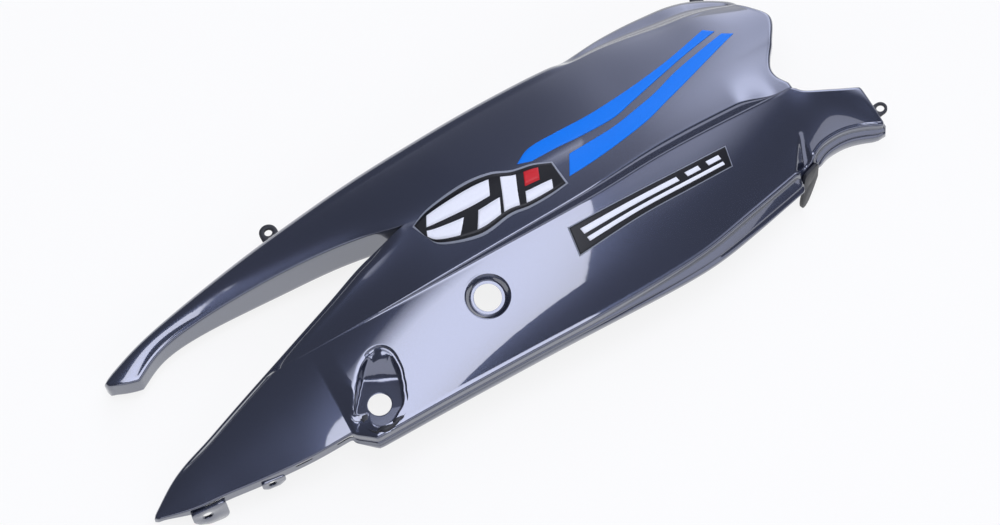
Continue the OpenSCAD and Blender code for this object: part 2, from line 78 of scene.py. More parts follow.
# Every outline is a table of y and z at these places along X
xs = np.arange(-400.0, 400.5, 0.5)


def knotted(knots, x):
    """Curve through knots [x, values] at x: between two knots a cubic whose slope at a knot is the slope
    from the knot before it to the one after, and straight beyond the ends."""
    k = np.array(knots, float)
    last = len(k) - 1
    before = np.maximum(np.arange(last + 1) - 1, 0)
    after = np.minimum(np.arange(last + 1) + 1, last)
    slope = (k[after, 1:] - k[before, 1:])/(k[after, :1] - k[before, :1])
    i = np.clip(np.searchsorted(k[:, 0], x) - 1, 0, last - 1)
    h = (k[i + 1, 0] - k[i, 0])[..., None]
    t = np.clip((x - k[i, 0])[..., None]/h, 0, 1)
    out = (k[i, 1:]*(2*t**3 - 3*t**2 + 1) + slope[i]*h*(t**3 - 2*t**2 + t)
           + k[i + 1, 1:]*(3*t**2 - 2*t**3) + slope[i + 1]*h*(t**3 - t**2))
    return (out + slope[0]*np.minimum(x - k[0, 0], 0)[..., None]
            + slope[last]*np.maximum(x - k[last, 0], 0)[..., None])


def line(knots, soften):
    """Table of y and z over xs of the curve through knots [x, y, z], as a Gaussian average along x."""
    return blurred(knotted(knots, xs), soften)


def blurred(table, soften):
    """Gaussian average of a table over xs, run on as a point reflection beyond both ends."""
    reach = int(6*soften) + 1
    offset = np.arange(-reach, reach + 1)*0.5
    weight = np.exp(-0.5*(offset/soften)**2)
    padded = np.pad(table, ((reach, reach), (0, 0)), mode="reflect", reflect_type="odd")
    return np.stack([np.convolve(padded[:, c], weight/weight.sum(), "valid") for c in range(2)], 1)


def at(table, x):
    """y and z of a tabled curve at x."""
    return np.interp(x, xs, table[:, 0]), np.interp(x, xs, table[:, 1])


def ease(t):
    """Smooth step from 0 to 1: 3 t squared less 2 t cubed."""
    t = np.clip(t, 0, 1)
    return t*t*(3 - 2*t)


def mix(a, b, t):
    """Straight line from a at t = 0 to b at t = 1."""
    return a + (b - a)*t


notch_edge = line([[-354, -46, -12], [-322, -25, -4], [-282, -11, 5], [-246, 1, 13], [-211, 12, 21],
                   [-176, 23, 29], [-141, 34, 37], [-104, 46, 46], [-58, 56, 55]], 6)
step_foot = line([[-225, 7.6, 17.8], [-170, 3, 30], [-90, -2, 43], [0, -4, 51], [92, -3, 54], [156, 2, 54],
                  [214, 4, 52], [289, 5, 48]], 8)
front_corner = line([[289, 5, 48], [297, -3, 48], [320, -12, 42], [344, -20, 36]], 2)
tail_fold = line([[-354, -46, -12], [-324, -55, -8], [-295, -59, -4], [-260, -65, 1], [-218, -70, 7],
                  [-180, -71, 12]], 6)
seat_fold = line([[-164, -87.5, 16], [-96, -86, 17], [-17, -85, 18], [57, -84, 18], [151, -78, 18],
                  [204, -66.5, 18], [262, -52, 16]], 10)
arch_fold = line([[281, -45, 18], [293, -40, 21], [313, -39, 22], [331, -44, 21], [344, -51, 20]], 3)
ridge = line([[-314, 67, 10], [-296, 77.5, 14], [-269, 83.5, 19], [-219, 85.5, 27], [-156, 82, 37],
              [-97, 72, 47], [-58, 56, 55], [0, 46, 61], [80, 42, 65], [160, 43, 66], [230, 46, 63],
              [298, 50, 57]], 9)
lower_fold = line([[-337, 75, 11], [-304, 86, 17.5], [-270, 93, 23], [-206, 102, 32], [-143, 109.5, 39],
                   [-81, 116.5, 44], [-20, 120.5, 48], [41, 122.5, 52], [100, 121.5, 56], [130, 120, 57],
                   [160, 121, 56], [186, 118, 56], [225, 111, 56], [260, 108, 55], [294, 100, 51]], 8)
front_end = [[0, 289], [0.25, 283], [0.5, 282], [0.75, 287], [1, 295], [1.45, 307], [1.8, 299], [2, 292]]
front_lip = [[130, 12, 12], [150, 13, 12], [179, 22, 18], [210, 30, 22], [240, 33, 24], [266, 29, 25],
             [292, 17, 19]]


def met(table, other, x):
    """The table moved, near x only, so that it meets the other one there."""
    gap = np.array(at(other, x)) - np.array(at(table, x))
    return table + gap*np.exp(-((xs - x)/25)**2)[:, None]


step_foot = met(step_foot, notch_edge, root_x)
front_corner = met(front_corner, step_foot, corner_x)
ridge = met(ridge, notch_edge, apex_x)
tail_fold = met(tail_fold, notch_edge, tail_x)


def spread(*stops):
    """Columns at stops [x, spacing, x, spacing, ..., x], evenly spaced between two of them."""
    out = [np.linspace(a, b, max(1, round((b - a)/gap)), endpoint=False)
           for a, gap, b in zip(stops[:-2:2], stops[1::2], stops[2::2])]
    return np.concatenate(out + [[stops[-1]]])


def joined(low_table, low_x, high_table, high_x):
    """Table that follows one curve up to low_x, the other from high_x on, and a straight line between."""
    t = np.clip((xs - low_x)/(high_x - low_x), 0, 1)[:, None]
    between = mix(np.array(at(low_table, low_x)), np.array(at(high_table, high_x)), t)
    return np.where(xs[:, None] <= low_x, low_table, np.where(xs[:, None] < high_x, between, high_table))


seat_line = joined(joined(tail_fold, jump_x0, seat_fold, jump_x1), leg_x0, arch_fold, leg_x1)
top_line = np.where(xs[:, None] < root_x, notch_edge,
                    np.where(xs[:, None] <= corner_x, step_foot, front_corner))
step_rise = ease((xs - root_x)/(corner_x - root_x)*1.15)*(1 - 0.88*ease((xs - 238)/40))
step_line = step_foot + np.stack([STEP_W*step_rise, STEP_H*step_rise], 1)
mid_line = np.where(xs[:, None] < apex_x, notch_edge, ridge)

# Round the leg and the front corner the face follows lines softer than its own edges
front_share = np.exp(-((xs - 283)/36)**4)[:, None]
seat_low = mix(seat_line, blurred(seat_line, 9), front_share)
seat_high = mix(top_line, blurred(top_line, 11), front_share)
gouge_top, gouge_foot = np.array([280, -28.0]), np.array([271, -52.0])

# Screw pocket: its floor's level and the rise of its back, the screw hole, the floor's straight front edge
# from front_a to front_b, and the outline of the arched niche
FLOOR_Z, BACK_SLOPE = 17.0, 1.07
SCREW_R = 9.75
RIM_ROOM = 0.35     # the sheet stops this far short of a hole, because its rim is rounded
hole_at = np.array([-149.8, -64.4])
front_a, front_b = np.array([-171.9, -62.4]), np.array([-136.5, -74.0])
front_dir = (front_b - front_a)/np.linalg.norm(front_b - front_a)
front_out = np.array([front_dir[1], -front_dir[0]])
niche = np.array([[-161.5, -66.3], [-164.3, -72.5], [-162, -81], [-155, -85.2], [-146.5, -83.5],
                  [-139.5, -79.5], [-133.3, -75.9], [-128.5, -65.9], [-125.1, -56.7], [-122.3, -43.3],
                  [-122.1, -38], [-123.4, -33], [-126.6, -28.6], [-132.2, -26.5], [-138.2, -27.1],
                  [-144.6, -30.1], [-151.6, -35.8], [-155.9, -41.1], [-161, -47.8], [-166.1, -54.1],
                  [-172, -63]])
niche_middle = np.array([-147.0, -61.0])


def notch_shoulder(x, y):
    """Drop of the shoulder that runs along the lamp notch: a parabola from nothing down to the edge."""
    share = ease((x - tail_x - 10)/60)*ease((apex_x - 2 - x)/40)
    return 4.2*share*np.clip(1 - (at(notch_edge, x)[0] - y)/8, 0, 1)**2


def seat_z(x, y):
    """Height of the seat-side face: a straight line across from fold to step, crowned by a parabola, less the
    gouge to the leg, and lowered in front of the screw pocket to a ruled facet that ends on the jump edge."""
    (ya, za), (yb, zb) = at(seat_low, x), at(seat_high, x)
    width = np.maximum(yb - ya, 0.01)
    t = (y - ya)/width
    run = gouge_foot - gouge_top
    off = np.stack([x, y], -1) - gouge_top
    s = np.clip(off @ run/(run @ run), 0, 1.2)
    gap = np.linalg.norm(off - s[..., None]*run, axis=-1)
    z = mix(za, zb, t) + 4*t*(1 - t)*CROWN*width/85 - 9*s*np.clip(1 - (gap/(2 + 7*s))**2, 0, 1)**1.5
    ahead = (np.stack([x, y], -1) - front_a) @ front_out
    along = (np.stack([x, y], -1) - front_a) @ front_dir
    ruled = mix(FLOOR_Z, mix(12.0, 16.0, np.clip(along/14, 0, 1)), np.clip(ahead/14, 0, 1))
    share = ease((ahead + 1.5)/2.5)*ease((along + 5)/5)*ease((26 - along)/14)
    return mix(z, np.minimum(z, ruled), share) - notch_shoulder(x, y)


def far_crown(x):
    """Height of the far face's crown over its straight line, which grows from the finger to the front."""
    return 1 + 2*ease((x + 210)/130) + 3*ease((x - apex_x)/150 + 0.6)


def mid_z(x, y):
    """Height of the middle face: a straight line across, and a parabola whose slope at the ridge is the far
    face's own, so that no edge shows there."""
    (ya, za), (yb, zb), (yr, zr), (yl, zl) = (at(c, x) for c in (step_line, mid_line, ridge, lower_fold))
    width = np.maximum(yb - ya, 0.01)
    t = (y - ya)/width
    z = mix(za, zb, t) + t*(1 - t)*(zb - za - width*(zl - zr + 4*far_crown(x))/(yl - yr))
    return z - notch_shoulder(x, y)


def far_z(x, y):
    """Height of the far face: a straight line from ridge to lower fold, crowned by a parabola."""
    (ya, za), (yb, zb) = at(ridge, x), at(lower_fold, x)
    t = (y - ya)/(yb - ya)
    return mix(za, zb, t) + 4*t*(1 - t)*far_crown(x)


def rounded(before, corner, after, n):
    """Fillet rows: the quadratic curve from one face to the next, with the sharp edge as its control."""
    t = np.linspace(0, 1, n + 1)[None, :, None]
    return (1 - t)**2*before[:, None] + 2*t*(1 - t)*corner[:, None] + t*t*after[:, None]


class Skin:
    """Gathers grids of points into one sheet; points that touch are merged once all are in."""

    def __init__(self):
        self.points, self.faces, self.count = [], [], 0

    def grid(self, points, keep=None, closed=False):
        """Quads over points[i, j], facing out where i runs to the front end and j to the lower edge."""
        n, m = points.shape[:2]
        ids = self.count + np.arange(n*m).reshape(n, m)
        if closed:
            ids = np.vstack([ids, ids[:1]])
        quads = np.stack([ids[:-1, :-1], ids[1:, :-1], ids[1:, 1:], ids[:-1, 1:]], -1)
        quads = quads[keep] if keep is not None else quads.reshape(-1, 4)
        self.points.append(points.reshape(-1, 3))
        self.faces.append(quads)
        self.count += n*m


skin = Skin()
cols_tail = spread(tail_x, 1.5, tail_x + 24, 3, root_x)
cols_notch = spread(root_x, 3, -187, 1.5, jump_x0, 1.5, jump_x1, 1.5, -112, 3, apex_x - 6, 1.5, apex_x)
cols_mid = spread(apex_x, 3, 0, 3, 252, 1.5, leg_x0, 1.5, leg_x1, 1.5, corner_x)
cols_front = spread(corner_x, 3, front_x)
FOOT_R = 1.2        # radius at the foot of the step

# Seat-side face, as columns of rows; the front end leans with the real one
seat_x = np.concatenate([cols_tail[:-1], cols_notch[:-1], cols_mid[:-1], cols_front])
rows = np.linspace(0, 1, 45)
rows = rows - 0.03*np.sin(2*np.pi*rows)
lean = 3.5*np.clip((seat_x - corner_x)/(front_x - corner_x), 0, 1)
gx = seat_x[:, None] + lean[:, None]*(1 - rows)
stepped_cols = (seat_x > root_x) & (seat_x <= corner_x)
span = at(top_line, seat_x)[0] - at(seat_line, seat_x)[0]
foot_share = np.where(stepped_cols, FOOT_R/np.maximum(span, 1)*ease((seat_x - root_x)/40), 0)
ya, yb = at(seat_line, seat_x)[0], at(top_line, seat_x)[0]
gy = ya[:, None] + (yb - ya)[:, None]*rows*(1 - foot_share)[:, None]
seat = np.stack([gx, gy, seat_z(gx, gy)], -1)


def ring_loop(points, i0, i1, j0, j1):
    """The loop of grid points round a block of cells, turning from the front end towards the lower edge."""
    return np.concatenate([points[i0:i1, j0], points[i1, j0:j1], points[i1:i0:-1, j1], points[i0, j1:j0:-1]])


def block_of(x0, x1, y0, y1):
    """Columns and rows of the seat-side grid that hold a patch of the face."""
    i0, i1 = np.searchsorted(seat_x, x0) - 1, np.searchsorted(seat_x, x1)
    mid = (i0 + i1)//2
    return i0, i1, max(1, np.searchsorted(gy[mid], y0) - 1), np.searchsorted(gy[mid], y1)


def unit(v):
    """Vectors scaled to length one."""
    return v/np.linalg.norm(v, axis=-1, keepdims=True)


# The lock recess is a cone with rounded edges down to a flat ring, square to the face
lock_at = np.array([-28.0, -34.0])
LOCK_R, LOCK_RIM = 11.5, 19.0
lock_z = float(seat_z(*lock_at))
lock_axis = unit(np.array([-(seat_z(-27, -34) - seat_z(-29, -34))/2,
                           -(seat_z(-28, -33) - seat_z(-28, -35))/2, 1]))
lock_u = unit(np.cross([0, 1, 0], lock_axis))
lock_v = np.cross(lock_axis, lock_u)
lock_top = np.array([*lock_at, lock_z])
# Rings of the recess: radius, height along its axis, and how much of the face's own height the ring keeps
lock_rows = [(20.0, -0.02, 0.9), (19.5, -0.12, 0.75), (LOCK_RIM, -0.4, 0.5), (18.6, -0.85, 0.25),
             (18.2, -1.4, 0.1), (16.6, -3.7, 0), (15.6, -5.1, 0), (15.2, -5.6, 0), (14.7, -5.9, 0),
             (14.1, -6.0, 0), (12.6, -6.0, 0), (LOCK_R + RIM_ROOM, -6.0, 0)]


def lock_ring(loop):
    """Rings from the block's loop to the rim circle on the face, then down the cone to the hole."""
    turn = np.arctan2((loop - lock_top) @ lock_v, (loop - lock_top) @ lock_u)
    way = np.cos(turn)[:, None]*lock_u + np.sin(turn)[:, None]*lock_v
    rings = []
    rim = lock_top + way*(LOCK_RIM + 1.6)
    for t in (0, 0.3, 0.6, 0.85, 1):
        p = mix(loop, rim, t)
        rings.append(np.column_stack([p[:, :2], seat_z(p[:, 0], p[:, 1])]) if t else loop)
    lip = (rings[-1] - lock_top) @ lock_axis
    for r, h, hold in lock_rows:
        rings.append(lock_top + way*r + lock_axis*(h + hold*lip)[:, None])
    return np.stack(rings, 1)


# The screw pocket is an arched niche with a sloping back, a flat floor and a half-round tongue in front
def niche_outline(turn):
    """Point and outward normal of the niche's outline at an angle round its middle."""
    a = np.arctan2(niche[:, 1] - niche_middle[1], niche[:, 0] - niche_middle[0])
    order = np.argsort(a)
    r = np.linalg.norm(niche - niche_middle, axis=1)[order]
    fine = np.radians(np.arange(-180, 180, 1.0))
    radius = np.interp(fine, a[order], r, period=2*np.pi)
    kernel = np.exp(-0.5*(np.arange(-9, 10)/2.2)**2)
    radius = np.convolve(np.pad(radius, 9, mode="wrap"), kernel/kernel.sum(), "valid")
    spot = niche_middle + np.stack([np.cos(fine), np.sin(fine)], 1)*radius[:, None]
    along = np.roll(spot, -1, 0) - np.roll(spot, 1, 0)
    normal = unit(np.stack([along[:, 1], -along[:, 0]], 1))
    pick = [np.interp(turn, fine, c, period=2*np.pi) for c in (*spot.T, *normal.T)]
    return np.stack(pick[:2], 1), unit(np.stack(pick[2:], 1))


def niche_floor(x, y):
    """Height inside the niche: a flat floor that rises at 47 degrees to the back rim, and falls gently in
    front of the floor's straight front edge."""
    p = np.stack([x, y], -1)
    back = (p - [-138.0, -43.5]) @ np.array([0.456, 0.89])
    ahead = (p - front_a) @ front_out
    return FLOOR_Z + BACK_SLOPE*(np.hypot(back, 1.6) + back)/2 - 0.12*np.clip(ahead, 0, None)


# Rings over the pocket's lip: how far outside its outline, the share of the right side's ledge and of the
# left side's roll, and how far the ring has sunk to the floor
lip_rows = [(4.2, 0, 0.02, 0), (3.6, 0.08, 0.06, 0), (3.2, 0.5, 0.12, 0), (2.9, 0.93, 0.2, 0),
            (2.4, 1, 0.32, 0), (1.6, 1, 0.6, 0), (1.0, 1, 0.85, 0), (0.6, 1.02, 1.1, 0.03),
            (0.25, 1.1, 1.3, 0.09), (0, 1, 1.4, 0.2), (-0.3, 1, 1.4, 0.45), (-0.6, 1, 1.4, 0.72),
            (-0.9, 1, 1.4, 0.92), (-1.3, 1, 1.4, 1)]
LEDGE, ROLL = 1.5, 0.8


def pocket_ring(loop):
    """Rings from the block's loop to the niche's rim, over its rounded lip, down its wall and to the hole."""
    turn = np.arctan2(loop[:, 1] - niche_middle[1], loop[:, 0] - niche_middle[0])
    rim, out = niche_outline(turn)
    right = ease((out @ np.array([0.98, 0.2]) + 0.25)/0.3)*ease((rim[:, 1] + 76)/12)
    left = ease((-(out @ np.array([0.9, -0.44])) + 0.1)/0.5)*ease((rim[:, 1] + 66)/10)
    rings = [loop]
    start = rim + out*5.0
    for t in (0.35, 0.7, 1):
        p = mix(loop[:, :2], start, t)
        rings.append(np.column_stack([p, seat_z(*p.T)]))
    for d, ledge, lip, sink in lip_rows:
        p = rim + out*d
        face = seat_z(*p.T) - LEDGE*right*ledge - ROLL*left*lip
        low = np.minimum(niche_floor(*p.T), face)
        rings.append(np.column_stack([p, mix(face, low, sink)]))
    foot = rings[-1][:, :2]
    way = unit(foot - hole_at)
    for t in np.linspace(0.1, 1, 10):
        p = mix(foot, hole_at + way*(SCREW_R + RIM_ROOM), t)
        rings.append(np.column_stack([p, niche_floor(*p.T)]))
    return np.stack(rings, 1)


lock_block, pocket_block = block_of(-54, -2, -60, -8), block_of(-176, -114, -83, -20)
kept = np.ones((len(seat) - 1, len(rows) - 1), bool)
for i0, i1, j0, j1 in (lock_block, pocket_block):
    kept[i0:i1, j0:j1] = False
skin.grid(seat, kept)
skin.grid(lock_ring(ring_loop(seat, *lock_block)), closed=True)
skin.grid(pocket_ring(ring_loop(seat, *pocket_block)), closed=True)

# Middle face, and the step up to it, with a rounded foot and a rounded top edge
mid_cols = np.concatenate([cols_notch[:-1], cols_mid])
ahead = np.clip((mid_cols - apex_x)/(corner_x - apex_x), 0, None)
top_r = 1.2 + 3.2*ease((mid_cols - 40)/200)
share = 1 - np.linspace(1, 0, 27)**1.6
front_at = knotted(front_end, share)[:, 0]
mx = np.where(ahead[:, None] > 0, apex_x + ahead[:, None]*(front_at - apex_x), mid_cols[:, None])
near_y, far_y = at(step_line, mx)[0], at(mid_line, mx)[0]
on_step = ease((mid_cols - root_x)/40)
wide = np.maximum(far_y[:, 0] - near_y[:, 0], 0.01)
mt = mix((top_r*on_step/np.maximum(wide, 3*top_r))[:, None], 1, share)
my = mix(near_y, far_y, mt)
middle = np.stack([mx, my, mid_z(mx, my)], -1)
foot = np.stack([mid_cols, *at(step_foot, mid_cols)], -1)
top = np.stack([mid_cols, *at(step_line, mid_cols)], -1)
for points in (foot, top):
    points[:, 2] -= notch_shoulder(points[:, 0], points[:, 1])
rise = np.linalg.norm(top - foot, axis=1)
low_part = (np.minimum(FOOT_R, 0.45*rise)/np.maximum(rise, 0.01))[:, None]
high_part = (np.minimum(top_r, 0.35*rise)/np.maximum(rise, 0.01))[:, None]
face_low, face_high = mix(foot, top, low_part), mix(top, foot, high_part)
seat_edge = seat[np.searchsorted(seat_x, mid_cols - 1e-6), -1]
skin.grid(rounded(seat_edge, foot, face_low, 5))
skin.grid(mix(face_low[:, None], face_high[:, None], np.linspace(0, 1, 4)[None, :, None]))
skin.grid(rounded(face_high, top, middle[:, 0], 5))
skin.grid(middle)

# Far face and the finger over the lamp notch
FINGER_COLS = 88
finger_s = np.linspace(0, 1, FINGER_COLS, endpoint=False)
ft = np.linspace(0, 1, 26)
fx = mix((finger_near_x + (finger_far_x - finger_near_x)*ft)[None], apex_x, finger_s[:, None])
front_s = np.clip((mid_cols[mid_cols >= apex_x] - apex_x)/(corner_x - apex_x), 0, None)
edge_x = knotted(front_end, 1 + ft)[:, 0]
fx = np.concatenate([fx, apex_x + front_s[:, None]*(edge_x - apex_x)])
fy = mix(at(ridge, fx)[0], at(lower_fold, fx)[0], ft)
far = np.stack([fx, fy, far_z(fx, fy)], -1)
far[FINGER_COLS:, 0] = middle[mid_cols >= apex_x, -1]
skin.grid(far)

# Hem: the flanges run once round the edge, each a profile of [outward, downward] from the fold
apex_k = len(cols_notch) - 1
past = seat_x > corner_x + 0.1
behind = seat_x < root_x - 0.1
step_end = np.concatenate([rounded(seat_edge[-1:], foot[-1:], face_low[-1:], 5)[0, 1:],
                           mix(face_low[-1], face_high[-1], np.array([[1/3], [2/3]])),
                           rounded(face_high[-1:], top[-1:], middle[-1:, 0], 5)[0]])
borders = [("near", seat[:, 0]), ("front", seat[-1, 1:]), ("front", seat[past, -1][-2::-1]),
           ("front", seat_edge[-1:]), ("front", step_end), ("front", middle[-1, 1:]), ("front", far[-1, 1:]),
           ("lower", far[-2::-1, -1]), ("tip", far[0, -2::-1]), ("finger", far[1:FINGER_COLS, 0]),
           ("notch", middle[apex_k::-1, -1]), ("notch", seat[behind, -1][::-1])]
edge = np.concatenate([points for _, points in borders])
kind = np.concatenate([[name]*len(points) for name, points in borders])
apart = np.linalg.norm(edge - np.roll(edge, 1, 0), axis=1) > 0.05
edge, kind = edge[apart], kind[apart]
along = np.roll(edge, -1, 0) - np.roll(edge, 1, 0)
outward = unit(np.stack([along[:, 1], -along[:, 0]], 1))
kernel = np.exp(-0.5*(np.arange(-4, 5)/1.3)**2)
kernel /= kernel.sum()
outward = unit(np.stack([np.convolve(np.pad(c, 4, mode="wrap"), kernel, "valid") for c in outward.T], 1))
ex, ez = edge[:, 0], edge[:, 2]
quarter = np.radians([18, 36, 54, 72, 90])
arc = np.stack([np.sin(quarter), 1 - np.cos(quarter)], 1)
HEM_ROWS = 14       # every flange's profile has as many points, so that one blends into the next


def stack(*rows):
    """Profile points [outward, downward] for every point of the edge."""
    return np.stack([np.stack([v + 0*ex for v in row], -1) for row in rows], 1)


def round_edge(r, h):
    """Quarter circle of radius r, then a wall down to h that leans out a little."""
    r, h = np.broadcast_arrays(np.asarray(r, float), np.asarray(h, float))
    wall = [(r + 0.04*h*t, mix(r, h, t)) for t in np.linspace(0.11, 1, 9)]
    return np.concatenate([arc*r[:, None, None], stack(*wall)], 1)


def stepped(z, w):
    """Quarter circle, a first drop, a sloping shelf, a small second step, and the wall on down to z; shelf
    and step together reach w outward."""
    r, d = EDGE_R, SHELF_DROP
    z, w = np.broadcast_arrays(np.asarray(z, float), np.asarray(w, float))
    first = np.broadcast_to(arc*r, (len(z), 5, 2))
    a, b = 0.68*w, d + 0.38*w
    rest = stack((r + 0*w, d - 1.6), (r + 0.1, d - 0.5), (r + 0.45, d + 0.1), (r + a - 0.3, b - 0.1),
                 (r + a + 0.15, b + 0.4), (r + a + 0.25, b + 2.2), (r + w + 0.3, b + 3.1),
                 (r + w + 0.6, b + 3.8), (r + w + 0.7, z))
    return np.concatenate([first, rest], 1)


def rolled(r, h):
    """Quarter circle of radius r in 11 steps, then a short wall down to h."""
    a = np.linspace(0, np.pi/2, 12)[1:]
    r, h = np.broadcast_arrays(np.asarray(r, float), np.asarray(h, float))
    turn = np.stack([r[:, None]*np.sin(a), r[:, None]*(1 - np.cos(a))], -1)
    return np.concatenate([turn, stack(*[(r, mix(r, h, t)) for t in (0.33, 0.67, 1)])], 1)


def lipped(w, h):
    """A convex roll that flattens to an outer lip of width w, which then turns down."""
    knots = [[0, 0, 0], [1, 0.12, 0.08], [2, 0.26, 0.36], [3, 0.5, 0.7], [4, 0.78, 0.82], [5, 0.97, 0.92]]
    share = knotted(knots, np.linspace(0.5, 5, 11))
    body = np.stack([w[:, None]*share[:, 0], h[:, None]*share[:, 1]], -1)
    return np.concatenate([body, stack((w + 0.6, h + 1), (w + 0.9, h + 3.5), (w + 1, h + 6))], 1)


tip = np.hypot(ex - apex_x, edge[:, 1] - 56)
small_r = np.minimum(EDGE_R, 0.25 + 0.06*tip)
low_z = mix(-8, -LOWER_DROP, ease((ex + 337)/200))
lip = knotted(front_lip, ex)
flanges = {
    "tail": round_edge(EDGE_R - 0.5, mix(5, TAIL_FLANGE, ease((ex - tail_x)/45))),
    "seat": stepped(ez, SHELF_W + SHELF_GROW*ease((ex - 10)/200)),
    "leg": round_edge(EDGE_R + 1.5, ez),
    "arch": stepped(ez - 1, SHELF_W + 3),
    "front": round_edge(EDGE_R + 0*ex, FRONT_WALL),
    "tip": round_edge(EDGE_R - 0.5 + 0*ex, FINGER_WALL),
    "finger": round_edge(small_r, mix(FINGER_WALL, 2*FINGER_WALL, ease((ex - finger_near_x)/160))),
    "notch": round_edge(small_r, mix(2*FINGER_WALL, NOTCH_WALL, ease(tip/40))),
    "lower": mix(rolled(ROLL_R*(0.5 + 0.5*ease((ex + 337)/200)), ez - low_z), lipped(lip[:, 0], lip[:, 1]),
                 ease((ex - 122)/26)[:, None, None])}
# The near edge has four flanges, one after the other, and the average along it blends each into the next
near = kind == "near"
kind = np.where(near & (ex < jump_x0), "tail", np.where(near & (ex < leg_x0), "seat",
                np.where(near & (ex < leg_x1), "leg", np.where(near, "arch", kind))))
profile = sum((kind == name)[:, None, None]*shape for name, shape in flanges.items())
flat = profile.reshape(len(edge), -1)
flat = np.stack([np.convolve(np.pad(c, 4, mode="wrap"), kernel, "valid") for c in flat.T], 1)
profile = flat.reshape(profile.shape)
hem = np.empty((len(edge), HEM_ROWS + 1, 3))
hem[:, 0] = edge
hem[:, 1:, :2] = edge[:, None, :2] + outward[:, None]*profile[:, :, :1]
hem[:, 1:, 2] = edge[:, None, 2] - profile[:, :, 1]
whole = np.ones((len(edge), HEM_ROWS), bool)
for x, length in SLOTS:
    whole[(kind == "tail") & (abs(ex - x) < length/2), 6:8] = False
skin.grid(hem[:, ::-1], whole, closed=True)

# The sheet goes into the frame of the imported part: origin at the lock hole, laid over by 10 degrees
LOCK_CENTRE = np.array([-27.6444, -31.7011, 34.2111])
lay = math.radians(-10)
REST = np.array([[1, 0, 0], [0, math.cos(lay), -math.sin(lay)], [0, math.sin(lay), math.cos(lay)]])


def placed(points):
    """Mould millimetres to the part's frame in metres."""
    return (np.asarray(points, float) - LOCK_CENTRE) @ REST.T/1000


def meshed(name, parts, touch=2e-5):
    """One object from lists of (points, quads), with points closer than touch metres merged."""
    points = np.concatenate([placed(p) for p, _ in parts])
    shift = np.cumsum([0] + [len(p) for p, _ in parts[:-1]])
    quads = np.concatenate([q + s for (_, q), s in zip(parts, shift)])
    mesh = bpy.data.meshes.new(name)
    mesh.vertices.add(len(points))
    mesh.vertices.foreach_set("co", points.ravel())
    mesh.loops.add(quads.size)
    mesh.loops.foreach_set("vertex_index", quads.ravel())
    mesh.polygons.add(len(quads))
    mesh.polygons.foreach_set("loop_start", np.arange(0, quads.size, 4))
    mesh.update(calc_edges=True)
    mesh.validate()
    work = bmesh.new()
    work.from_mesh(mesh)
    bmesh.ops.remove_doubles(work, verts=work.verts, dist=touch)
    bmesh.ops.dissolve_degenerate(work, edges=work.edges, dist=1e-6)
    work.to_mesh(mesh)
    work.free()
    mesh.shade_smooth()
    piece = bpy.data.objects.new(name, mesh)
    bpy.context.scene.collection.objects.link(piece)
    return piece


# The sheet is the painted side; the wall grows inwards from it, and its square rims are rounded a little
shell = meshed("painted_shell", [(np.concatenate(skin.points), np.concatenate(skin.faces))])
wall = shell.modifiers.new("wall", "SOLIDIFY")
wall.thickness, wall.offset, wall.use_even_offset = WALL/1000, -1, False
wall.thickness_clamp, wall.material_offset = 1.0, 1
rim = shell.modifiers.new("rounded_rim", "BEVEL")
rim.limit_method, rim.angle_limit = "ANGLE", math.radians(68)
rim.width, rim.segments = 0.0005, 2
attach(shell, "root")
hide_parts("side_panel")


def linear(code):
    """sRGB hex to linear colour."""
    c = np.array([int(code[i:i + 2], 16)/255 for i in (1, 3, 5)])
    return (*np.where(c <= 0.04045, c/12.92, ((c + 0.055)/1.055)**2.4), 1.0)


def add(tree, kind, links=(), **values):
    """Adds a node, sets its properties and unlinked sockets by name, and links (from_socket, to_name)."""
    new = tree.nodes.new(kind)
    for name, value in values.items():
        if hasattr(new, name):
            setattr(new, name, value)
        else:
            new.inputs[name.replace("_", " ")].default_value = value
    for source, target in links:
        tree.links.new(source, new.inputs[target])
    return new


def new_material(name):
    """Empty node material and its tree."""
    made = bpy.data.materials.new(name)
    made.use_nodes = True
    made.node_tree.nodes.clear()
    return made, made.node_tree


# Sprayed metallic base coat under a clear coat. The base gives the dark slate with its soft sheen, the
# clear coat the sharp mirror. Real flakes are under 0.1 mm, too fine to show, and are drawn 1.1 mm apart (900
# to the metre); the coat's slow ripple is about 17 mm long (60 to the metre).
paint, tree = new_material("metallic_slate_paint")
where = add(tree, "ShaderNodeTexCoord")
flake = add(tree, "ShaderNodeTexVoronoi", [(where.outputs["Object"], "Vector")], Scale=900.0)
tone = add(tree, "ShaderNodeMapRange", [(flake.outputs["Distance"], "Value")], To_Min=0.92, To_Max=1.08)
colour = add(tree, "ShaderNodeMix", [(tone.outputs["Result"], "Factor")], data_type="RGBA")
colour.inputs["A"].default_value, colour.inputs["B"].default_value = linear("#2d3241"), linear("#3f465b")
ripple = add(tree, "ShaderNodeTexNoise", [(where.outputs["Object"], "Vector")], Scale=60.0, Detail=2.0)
peel = add(tree, "ShaderNodeBump", [(ripple.outputs["Fac"], "Height")], Strength=0.02, Distance=0.001)
body = add(tree, "ShaderNodeBsdfPrincipled", [(colour.outputs["Result"], "Base Color"),
                                             (peel.outputs["Normal"], "Coat Normal")],
           Metallic=0.7, Roughness=0.25, Coat_Weight=1.0, Coat_Roughness=0.03, Coat_IOR=2.0)
add(tree, "ShaderNodeOutputMaterial", [(body.outputs["BSDF"], "Surface")])

